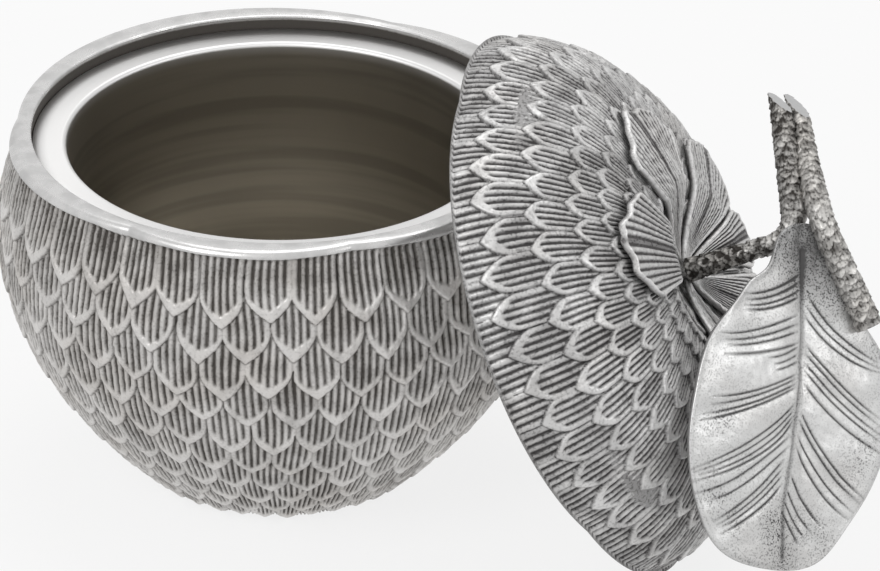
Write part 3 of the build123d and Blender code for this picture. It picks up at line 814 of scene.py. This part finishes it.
def sepal_grid(direction, half_angle, reach, curl, flutes, order):
    """One sepal as a closed thin shell: its face, and its back a little under it.

    It points in a direction, spreads half_angle to each side and reaches that far out.
    """
    u = np.linspace(0, 1, sepal_steps)[:, None]
    v = np.linspace(-1, 1, 2 * sepal_steps)[None, :]
    outline = reach * (1 - (1 - sepal_shoulder) * np.abs(v) ** 1.6)
    outline = outline * (1 + 0.014 * np.sin(9 * v + order) + 0.010 * np.sin(17 * v + 2 * order))
    radius = sepal_root + u * (outline - sepal_root)
    spread = half_angle * (0.86 + 0.14 * u)
    angle = direction + spread * v + 2.0 * np.sin(2.2 * u + order) * u
    side = radius * np.radians(spread) * (1 - np.abs(v))
    edge = np.minimum(side, outline - radius)
    bead = hill(edge - 0.8, 0.7)
    field = ramped(edge, 0.9, 2.1)
    sweep = 5.94 * np.sign(v) * np.abs(v) ** 1.5 * (1 - u)
    wave = 0.5 - 0.5 * np.cos(pi * (flutes * v * (0.6 + 0.4 * u) + sweep))
    cut = field * wave ** 1.8 * ramped(radius, 7, 14)
    fold = hill(v * radius * radians(half_angle), 1.3) * ramped(u, 0.1, 0.4)
    turned_up = curl * ramped(u, 0.62, 1.0) ** 1.5
    crown = 0.9 * (1 - v ** 2) * np.sin(pi * u)
    lift = crown + turned_up + 0.3 * bead * ramped(u, 0.25, 0.6)
    level = dome_rise(radius) + 1.5 + 0.12 * order + lift - flute_depth * cut - fold_depth * fold
    level = level - edge_depth * fading(edge, 0.35)
    face = ring_points(angle, radius, level)
    face[..., 2] += (0.12 * ripple(face, 3.2, 81) - 0.1) * ramped(edge, 0.0, 0.6)
    under = np.minimum(level - sepal_sheet, dome_rise(radius) + 0.3 + turned_up)
    back = ring_points(angle, radius, under)
    points = np.concatenate([face, back[:, ::-1]], axis=1)
    closing = (points[-1:] + points[-1:, ::-1]) / 2
    points = np.concatenate([points, closing])
    darkening = 0.88 * cut + 0.14 * field + 0.6 * fold - 0.06 * bead
    # fading(edge, 0.3) paints shade on the edge wall of the sepal; the flutes and the fold hold
    # patina, and it grows darker towards the stem's foot.
    darkening = np.clip(0.08 + darkening + 0.5 * fading(edge, 0.3) + 0.35 * fading(radius, 9), 0, 1)
    patina_and_shade = np.concatenate([darkening, np.full(darkening.shape, 0.7)], axis=1)
    patina_and_shade = np.concatenate([patina_and_shade, patina_and_shade[-1:]])
    return on_lid(points), (False, True), marked(patina_and_shade, stipple_and_shade=0.05)


calyx_metal = cast_finish("antiqued calyx metal", calyx_light, calyx_dark, lid_warm, rough=0.36)
calyx_grids = [sepal_grid(*sepal, order) for order, sepal in enumerate(sepals)]
make_piece("fluted_calyx", calyx_grids, calyx_metal, "lid", ["calyx"], weld=True)


# Stem: a cast twig bolted through the calyx. It rises along the lid's axis and bends into a
# short arm, sawn off at a slant; small bark scales cover it, dark with patina.
stem_turn = radians(-49.5)
stem_foot = 47.0
stem_bend_height = 92.6
stem_bend_radius = 10.5
stem_foot_radius = 5.3
stem_waist_radius = 4.4
stem_elbow_radius = 5.6
stem_end_radius = 4.3
stem_arm_length = 70.0
cut_reach = 56.1
cut_height = 93.5
cut_turn = radians(-21.0)
cut_slope = radians(50.0)
bark_columns = 96
bark_step = 0.4
bark_count = 6
bark_row = 3.2
# The shadow and root keys set painted shade: dark crescents below each bark scale's edge.
bark_scales = {"ribs": 3, "drop": 0.85, "groove": 0.06, "nose": 0.72, "point": 2.4, "border": 0.5,
               "smooth_tip": 0.8, "uneven": 0.9, "ink": 0.12, "shadow": 0.95, "side_cut": 0.3,
               "root_shade": 0.52, "side_shadow": 0.25}
foot_start = 22.0
foot_end = 34.0
bark_light = (0.80, 0.785, 0.76)
bark_dark = (0.035, 0.030, 0.026)
bark_warm = (0.56, 0.53, 0.49)
cut_light = (0.50, 0.50, 0.50)
cut_grey = (0.40, 0.40, 0.40)

arm_way = np.array([cos(stem_turn), sin(stem_turn), 0.0])
cut_point = arm_way * cut_reach + (0.0, 0.0, cut_height)
cut_normal = np.array([cos(cut_slope) * cos(cut_turn), cos(cut_slope) * sin(cut_turn), sin(cut_slope)])


def stem_route():
    """Middle line of the stem from its foot to past the cut, and its radius there."""
    straight = stem_bend_height - stem_bend_radius
    rise = np.linspace(stem_foot, straight, 80)
    points = [arm_way * 0 + (0, 0, z) for z in rise]
    shares = (1 - (rise - stem_foot) / (straight - stem_foot)) ** 3
    radii = list(stem_waist_radius + (stem_foot_radius - stem_waist_radius) * shares)
    for turn in quarter_turn(40):
        points.append(arm_way * stem_bend_radius * (1 - cos(turn))
                      + (0, 0, straight + stem_bend_radius * sin(turn)))
        radii.append(stem_waist_radius + (stem_elbow_radius - stem_waist_radius) * 2 * turn / pi)
    for reach in np.linspace(stem_bend_radius, stem_arm_length, 80)[1:]:
        points.append(arm_way * reach + (0, 0, stem_bend_height))
        share = (reach - stem_bend_radius) / (stem_arm_length - stem_bend_radius)
        radii.append(stem_elbow_radius + (stem_end_radius - stem_elbow_radius) * share)
    return np.array(points), np.array(radii)


def bark_tube(route, radii, side, seed, tips_to_end, patina, rough_foot=0.0):
    """Closed tube along a route, with bark scales pressed into it and flat ends.

    side is where its seam lies, tips_to_end says which way the scales point, and rough_foot
    is the strength of the dark crust on its first stretch.
    """
    run = run_along(route)
    count = int(run[-1] / bark_step)
    places = np.linspace(0, run[-1], count)
    line = np.stack([np.interp(places, run, route[:, k]) for k in range(3)], axis=-1)
    radius = np.interp(places, run, radii)[:, None]
    way = np.gradient(line, axis=0)
    way /= np.linalg.norm(way, axis=1)[:, None]
    seam = side - way * (way @ side)[:, None]
    seam /= np.linalg.norm(seam, axis=1)[:, None]
    beside = np.cross(way, seam)
    turn = np.linspace(0, 2 * pi, bark_columns, endpoint=False)[None, :]
    spokes = seam[:, None] * np.cos(turn)[..., None] + beside[:, None] * np.sin(turn)[..., None]
    smooth = line[:, None] + spokes * radius[..., None]
    towards = places if tips_to_end else run[-1] - places
    column = turn / (2 * pi) * bark_count + 0.10 * ripple(smooth, 14, seed)
    spread = towards[:, None] + 0.5 * ripple(smooth, 9, seed + 1) + 0 * column
    tips = tuple(bark_row * (1 + k) for k in range(int(run[-1] / bark_row) + 2))
    half = pi * radius / bark_count + 0 * column
    height, patina_and_shade = scale_relief(column, spread, half, tips, seed + 2, bark_count, **bark_scales)
    height = height + 0.10 * ripple(smooth, 2.4, seed + 3)
    foot = rough_foot * ramped(-places, -foot_end, -foot_start)[:, None]
    crust = 0.45 * foot * ramped(ripple(smooth, 3.0, seed + 4), -0.4, 0.5)
    darkening = patina_and_shade * (1 - 0.2 * foot) + crust + 0.12 * ripple(smooth, 7, seed + 5) + patina
    patina_and_shade = np.clip(darkening, 0, 1)
    points = line[:, None] + spokes * (radius + height)[..., None]
    ends = [np.repeat(line[k][None, None], bark_columns, axis=1) for k in (0, -1)]
    points = np.concatenate([ends[0], points, ends[1]])
    patina_and_shade = np.concatenate([patina_and_shade[:1], patina_and_shade, patina_and_shade[-1:]])
    return points, (False, True), marked(patina_and_shade, stipple_and_shade=0.15)


def saw_off(piece, material):
    """Cuts a piece along the slanted saw plane and closes it with a smooth face."""
    work = bmesh.new()
    work.from_mesh(piece.data)
    place = Vector(on_lid(cut_point) * mm)
    normal = Vector(on_lid(cut_point + cut_normal) - on_lid(cut_point))
    everything = work.verts[:] + work.edges[:] + work.faces[:]
    cut = bmesh.ops.bisect_plane(work, geom=everything, dist=1e-7, plane_co=place, plane_no=normal,
                                 clear_outer=True)
    rim = [part for part in cut["geom_cut"] if isinstance(part, bmesh.types.BMEdge)]
    closed = bmesh.ops.contextual_create(work, geom=rim)["faces"]
    for face in closed:
        face.material_index = 1
        face.smooth = False
    work.to_mesh(piece.data)
    work.free()
    piece.data.materials.append(material)


bark_metal = cast_finish("antiqued bark metal", bark_light, bark_dark, bark_warm, rough=0.4)
cut_metal = mottled_finish("filed cut metal", cut_light, cut_grey,
                           {"Metallic": 0.85, "Roughness": 0.42}, lump=1.5, detail=4, depth=0.02)
route, radii = stem_route()
stem_side = np.array([-sin(stem_turn), cos(stem_turn), 0.0])
points, wraps, marks = bark_tube(route, radii, stem_side, 31, False, 0.16, rough_foot=1.0)
stem = make_piece("bark_stem", [(on_lid(points), wraps, marks)], bark_metal, "lid",
                  ["stem"], weld=True)
saw_off(stem, cut_metal)


# Branch: a second twig cast against the arm. It lies beside the arm up to the saw cut, and runs
# the other way over the fork and the leaf's shoulder to a square end.
branch_route = ((35.3, -59.0, 94.6), (24.3, -39.6, 97.1), (15.0, -21.3, 100.1), (9.1, -10.0, 102.3),
                (0.9, -1.2, 103.8), (-14.3, 1.7, 104.4), (-41.1, 6.8, 106.2))
branch_radii = (4.5, 4.77, 5.03, 5.3, 5.47, 5.63, 5.8)


def spline_through(points, count, closed=False):
    """Smooth cubic curve through points, by solving for even curvature between them.

    A closed one is solved over three turns, of which the middle one is kept.
    """
    points = np.array(points, float)
    first, last = 0, len(points) - 1
    if closed:
        first, last = len(points), 2 * len(points)
        points = np.concatenate([points, points, points, points[:1]])
    knots = run_along(points)
    gaps = np.diff(knots)
    size = len(points)
    system, target = np.eye(size), np.zeros(points.shape)
    slopes = np.diff(points, axis=0) / gaps[:, None]
    for k in range(1, size - 1):
        system[k, k - 1:k + 2] = gaps[k - 1], 2 * (gaps[k - 1] + gaps[k]), gaps[k]
        target[k] = 6 * (slopes[k] - slopes[k - 1])
    bends = np.linalg.solve(system, target)
    places = np.linspace(knots[first], knots[last], count, endpoint=not closed)
    span = np.clip(np.searchsorted(knots, places, side="right") - 1, 0, size - 2)
    width = gaps[span][:, None]
    curve = np.zeros((count, points.shape[1]))
    for end, part in ((span, knots[span + 1] - places), (span + 1, places - knots[span])):
        part = part[:, None]
        curve += bends[end] * part ** 3 / (6 * width)
        curve += (points[end] / width - bends[end] * width / 6) * part
    return curve


branch_line = spline_through(branch_route, 240)
branch_width = np.interp(np.linspace(0, 1, 240), np.linspace(0, 1, 7), branch_radii)
points, wraps, marks = bark_tube(branch_line, branch_width, np.array([0.0, 0.0, 1.0]), 51, True, -0.04)
branch = make_piece("bark_branch", [(on_lid(points), wraps, marks)], bark_metal, "lid",
                    ["branch"], weld=True)
saw_off(branch, cut_metal)


# Leaf: one broad cast blade joined to the fork, brushed bright, its veins engraved in sheaves
# that sweep from the midrib to the edge. Stippled patina stays near the fork and at the tip,
# with painted shade at the fork and on the blade beside the branch.
leaf_root = np.array([-5.7, 8.9, 92.5])
leaf_turn = radians(149.4)
leaf_droop = radians(14.3)
leaf_roll = radians(33.6)
leaf_length = 116.5
leaf_left_width = 51.0
leaf_right_width = 40.5
leaf_thickness = 2.2
leaf_cup = 7.0
leaf_tip_fall = 6.0
leaf_outline = ((0.1, 0.5), (0.016, 0.38), (-0.112, 0.14), (-0.082, -0.17), (0.026, -0.3),
                (0.07, -0.46), (0.115, -0.55), (0.23, -0.79), (0.42, -0.95), (0.58, -1.0),
                (0.78, -0.92), (0.92, -0.73), (0.995, -0.27), (0.975, 0.22), (0.88, 0.48),
                (0.75, 0.76), (0.62, 0.94), (0.47, 1.0), (0.3, 0.9), (0.185, 0.64))
leaf_spokes = 900
leaf_rings = 150
midrib = ((-3.0, 0.8), (14.0, 0.5), (38.0, -0.4), (56.0, -3.0), (79.0, -6.0), (96.0, -8.0),
          (112.0, -7.5))
vein_sheaves = (
    (((5.8, -0.6), (11.6, -14.1), (12.9, -26.8)), ((13.9, -1.3), (18.1, -14.2), (18.6, -26.0)), 4),
    (((20.8, -2.0), (26.6, -22.2), (27.5, -38.4)), ((30.9, -1.7), (34.2, -17.5), (35.1, -36.1)), 4),
    (((33.0, -1.7), (36.0, -9.0), (37.0, -16.0)), ((38.2, -1.9), (40.4, -8.0), (41.4, -12.8)), 3),
    (((43.0, -2.5), (49.5, -22.8), (51.9, -43.3)), ((47.9, -3.1), (55.9, -24.9), (60.7, -47.4)), 4),
    (((53.5, -3.7), (67.2, -23.2), (77.5, -48.7)), ((60.0, -4.4), (73.6, -20.4), (83.1, -49.8)), 4),
    (((66.0, -6.0), (80.8, -28.4), (87.1, -47.5)), ((70.0, -6.5), (84.0, -26.0), (90.0, -42.0)), 2),
    (((74.5, -8.6), (88.1, -23.7), (98.3, -41.4)), ((85.0, -9.4), (94.5, -20.9), (102.4, -35.7)), 4),
    (((13.9, 3.6), (28.4, 17.2), (39.7, 36.9)), ((20.4, 1.5), (34.9, 17.0), (42.2, 35.8)), 3),
    (((31.7, 2.2), (46.2, 16.8), (60.9, 37.4)), ((46.3, 0.9), (60.8, 16.4), (73.1, 37.1)), 5),
    (((56.8, -0.8), (75.4, 12.1), (90.1, 28.7)), ((69.7, -2.6), (85.9, 7.9), (97.3, 21.5)), 4),
    (((81.0, -4.8), (91.5, 1.8), (100.4, 9.5)), ((93.8, -9.1), (101.9, -4.4), (107.6, 0.4)), 4),
)
# Patches (s, t, size, strength) of stippled patina; the ones at the fork and at (14, 24) and (28, 30)
# beside the branch are painted shade as well.
stipple_and_shade_patches = ((-4.0, 2.0, 20.0, 1.0), (14.0, 24.0, 13.0, 0.9), (28.0, 30.0, 10.0, 0.7),
                  (104.0, -14.0, 16.0, 0.8), (106.0, 4.0, 10.0, 0.6), (84.0, -40.0, 11.0, 0.5),
                  (76.0, 28.0, 9.0, 0.35), (58.0, 30.0, 8.0, 0.35), (60.0, -36.0, 8.0, 0.35))
leaf_light = (0.62, 0.62, 0.615)
leaf_dark = (0.075, 0.073, 0.073)
leaf_warm = (0.54, 0.53, 0.52)

leaf_way = np.array([cos(leaf_turn), sin(leaf_turn), 0.0])
leaf_along = leaf_way * cos(leaf_droop) - (0.0, 0.0, sin(leaf_droop))
leaf_up = leaf_way * sin(leaf_droop) + (0.0, 0.0, cos(leaf_droop))
leaf_side = np.array([sin(leaf_turn), -cos(leaf_turn), 0.0])
leaf_across = leaf_up * sin(leaf_roll) - leaf_side * cos(leaf_roll)
leaf_normal = np.cross(leaf_along, leaf_across)


def leaf_height(s, t):
    """Height of the blade over its plane: full halves, a sunk midrib and a falling tip."""
    side = np.abs(t) / np.where(t < 0, leaf_left_width, leaf_right_width)
    fall = leaf_tip_fall * np.maximum(0, s / leaf_length - 0.35) ** 2 / 0.42
    return leaf_cup * (side - side ** 2) - fall


def three_point_curve(first, middle, last, count=28):
    """Parabola from first to last that passes through middle."""
    first, middle, last = (np.array(place) for place in (first, middle, last))
    share = np.linspace(0, 1, count)[:, None]
    pull = 2 * middle - (first + last) / 2
    return first * (1 - share) ** 2 + 2 * pull * share * (1 - share) + last * share ** 2


def distance_to(line, s, t):
    """Distance from each point of the blade to a line on it, and the share of the line there."""
    best = np.full(s.shape, 1e9)
    where = np.zeros(s.shape)
    for k, ((s0, t0), (s1, t1)) in enumerate(zip(line[:-1], line[1:])):
        ds, dt = s1 - s0, t1 - t0
        share = np.clip(((s - s0) * ds + (t - t0) * dt) / (ds * ds + dt * dt), 0, 1)
        gap = np.hypot(s - s0 - share * ds, t - t0 - share * dt)
        nearer = gap < best
        best = np.where(nearer, gap, best)
        where = np.where(nearer, (k + share) / (len(line) - 1), where)
    return best, where


def leaf_engraving(s, t):
    """Depth cut into the blade, and its patina: the sheaves of veins and the midrib."""
    rng = np.random.default_rng(61)
    depth, darkening = np.zeros(s.shape), np.zeros(s.shape)
    for first, last, count in vein_sheaves:
        middle = np.mean([first, last], axis=0)
        gap, _ = distance_to(three_point_curve(*middle), s, t)
        depth = depth + 0.55 * hill(gap, 4.5)
        for number in range(count):
            share = number / (count - 1) + rng.uniform(-0.06, 0.06)
            ends = np.array(first) * (1 - share) + np.array(last) * share
            ends[2] = ends[2] + (ends[2] - ends[1]) * rng.uniform(-0.12, 0.06)
            gap, where = distance_to(three_point_curve(*ends), s, t)
            wide = 0.42 + 0.14 * rng.uniform()
            ends_fade = ramped(where, 0.0, 0.10) * ramped(-where, -1.0, -0.72)
            cut = hill(gap, wide) * (0.35 + 0.65 * ends_fade) * (where < 0.999)
            depth = np.maximum(depth, 0.5 * cut + 0.2 * hill(gap, 3.0))
            darkening = np.maximum(darkening, 0.92 * cut)
    gap, where = distance_to(spline_through(midrib, 40), s, t)
    rib = hill(gap, 1.1)
    depth = np.maximum(depth, 0.75 * rib * (1 - 0.4 * where))
    return depth, np.maximum(darkening, 0.55 * rib)


def leaf_grid():
    """The blade as a closed shell: face from the middle out, round the edge, and the back."""
    outline = np.array(leaf_outline)
    widths = np.where(outline[:, 1] < 0, leaf_left_width, leaf_right_width)
    outline = np.stack([outline[:, 0] * leaf_length, outline[:, 1] * widths], axis=-1)
    edge = spline_through(outline, leaf_spokes, closed=True)
    centre = np.array([0.5 * leaf_length, -3.0])
    q = np.linspace(0, 1, leaf_rings)[:, None] ** 0.75
    s = centre[0] + (edge[:, 0] - centre[0]) * q
    t = centre[1] + (edge[:, 1] - centre[1]) * q
    flat = np.stack([s, t, 0 * s], axis=-1)
    out = np.hypot(edge[:, 0] - centre[0], edge[:, 1] - centre[1]) * (1 - q)
    depth, darkening = leaf_engraving(s, t)
    swell = 0.45 * ripple(flat, 46, 71) + 0.20 * ripple(flat, 19, 72) + 0.04 * ripple(flat, 5, 73)
    rim = fading(out, 1.1)
    half = leaf_thickness / 2
    middle = leaf_height(s, t)
    face = middle + half + (swell - depth - 0.1) * (1 - rim) - 0.25 * fading(out, 0.5)
    back = middle - half + 0.4 * (swell - depth) * (1 - rim) + 0.25 * fading(out, 0.5)
    stipple_and_shade = np.zeros(s.shape)
    for s0, t0, size, strength in stipple_and_shade_patches:
        stipple_and_shade = np.maximum(stipple_and_shade, strength * hill(np.hypot(s - s0, t - t0), size))
    stipple_and_shade = stipple_and_shade * (0.8 + 0.5 * ripple(flat, 16, 74)) + 0.10 + 0.10 * ripple(flat, 24, 75)
    stipple_and_shade = np.clip(stipple_and_shade, 0, 1)
    # Painted shade at the fork and along the branch's side, over the patina there.
    fork_patina_and_shade = 0.6 * hill(np.hypot(s + 6, t - 2), 17) * (1 + 0.12 * ripple(flat, 4, 76))
    fork_patina_and_shade += 0.35 * np.exp(-(s - 8) ** 2 / 90 - (t - 16) ** 2 / 160)
    darkening = np.clip(darkening + fork_patina_and_shade + 0.14 * hill(out - 1.2, 0.5), 0, 1)
    sheet = np.stack([s, t, face], axis=-1)
    underside = np.stack([s, t, back], axis=-1)[::-1]
    points = np.concatenate([sheet, underside]) @ np.array([leaf_along, leaf_across, leaf_normal])
    patina_and_shade = np.concatenate([darkening, 0.3 + 0 * darkening])
    stipple_and_shade = np.concatenate([stipple_and_shade, 0.3 + 0 * stipple_and_shade])
    return on_lid(leaf_root + points), (False, True), marked(patina_and_shade, stipple_and_shade=stipple_and_shade)


leaf_metal = cast_finish("brushed leaf metal", leaf_light, leaf_dark, leaf_warm, rough=0.34,
                         grain=0.06, pit=0.7)
make_piece("veined_leaf", [leaf_grid()], leaf_metal, "lid", ["leaf"], weld=True)


# Studio: a pale floor that runs out to a pale surround, one broad soft light over the left
# shoulder, a weaker one from the right and a third from above and behind.
floor_size = 8.0
floor_colour = (0.90, 0.90, 0.90)
surround_level = 1.0
surround_fill = 0.42
lamps = (((-1.5, -1.7, 2.2), 1.6, 26.0), ((2.2, -1.0, 1.5), 1.4, 9.0), ((0.2, 0.9, 2.4), 1.8, 16.0))
lamp_aim = Vector((0.05, 0.0, 0.08))
glow_share = 0.82
white = (1.0, 1.0, 1.0, 1.0)


def stage_floor():
    work = bmesh.new()
    bmesh.ops.create_grid(work, x_segments=4, y_segments=4, size=floor_size)
    mesh = bpy.data.meshes.new("floor")
    work.to_mesh(mesh)
    work.free()
    floor = placed("floor", mesh)
    finish = Finish("pale floor")
    finish.surface({"Base Color": (*floor_colour, 1.0), "Roughness": 0.9})
    glow = finish.node("ShaderNodeEmission", {}, {"Color": white, "Strength": surround_level})
    lit = Wire(finish, finish.tree.nodes["Principled BSDF"].outputs[0])
    share = glow_share * finish.rays("Camera", "Glossy")
    both = finish.node("ShaderNodeMixShader", {}, {0: share, 1: lit, 2: glow})
    finish.feed(finish.tree.nodes["Material Output"], {"Surface": both})
    mesh.materials.append(finish.material)


def stage_world():
    """White where it is seen, directly or mirrored, and weaker where it only lights."""
    world = bpy.data.worlds.new("surround")
    world.use_nodes = True
    bpy.context.scene.world = world
    surround = Shader(world.node_tree)
    seen = surround.rays("Camera", "Glossy", "Transmission")
    strength = surround_fill + (surround_level - surround_fill) * seen
    surround.feed(world.node_tree.nodes["Background"], {"Color": white, "Strength": strength})


stage_floor()
stage_world()
for number, (place, size, power) in enumerate(lamps):
    light = bpy.data.lights.new(f"softbox_{number}", "AREA")
    light.shape = "DISK"
    light.size = size
    light.energy = power
    lamp = placed(light.name, light)
    lamp.location = place
    lamp.rotation_euler = (lamp_aim - Vector(place)).to_track_quat("-Z", "Y").to_euler()
bpy.context.scene.view_settings.view_transform = "Standard"
